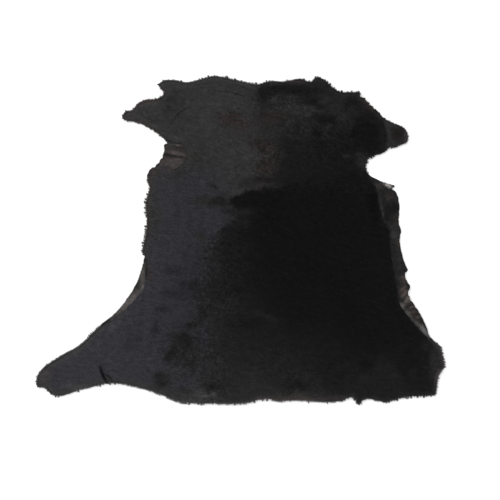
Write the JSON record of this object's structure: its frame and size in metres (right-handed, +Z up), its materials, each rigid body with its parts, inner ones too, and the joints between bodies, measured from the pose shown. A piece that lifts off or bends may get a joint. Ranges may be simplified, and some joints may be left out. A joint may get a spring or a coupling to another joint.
{
  "type": "sheepskin",
  "caption": "Whole black sheepskin with short sheared wool on one side, lying flat, with an animal-shaped cut edge and bare leather at the flanks.",
  "frame": {"origin": "on the ground, under the centre of the hide's bounding box", "axes": "+Z up, out of the wool side; +X across the hide from its left legs to its right legs; +Y from the rump to the neck"},
  "size_m": [1.1288, 0.9076, 0.0156],
  "materials": {
    "wool": "dense sheared wool dyed black, matt with a soft bluish grey sheen where the nap leans away",
    "leather": "thin dyed black-brown leather, slightly glossy where the wool is missing, suede underneath"
  },
  "bodies": {
    "root": {"sheepskin": "wool"}
  },
  "joints": []
}
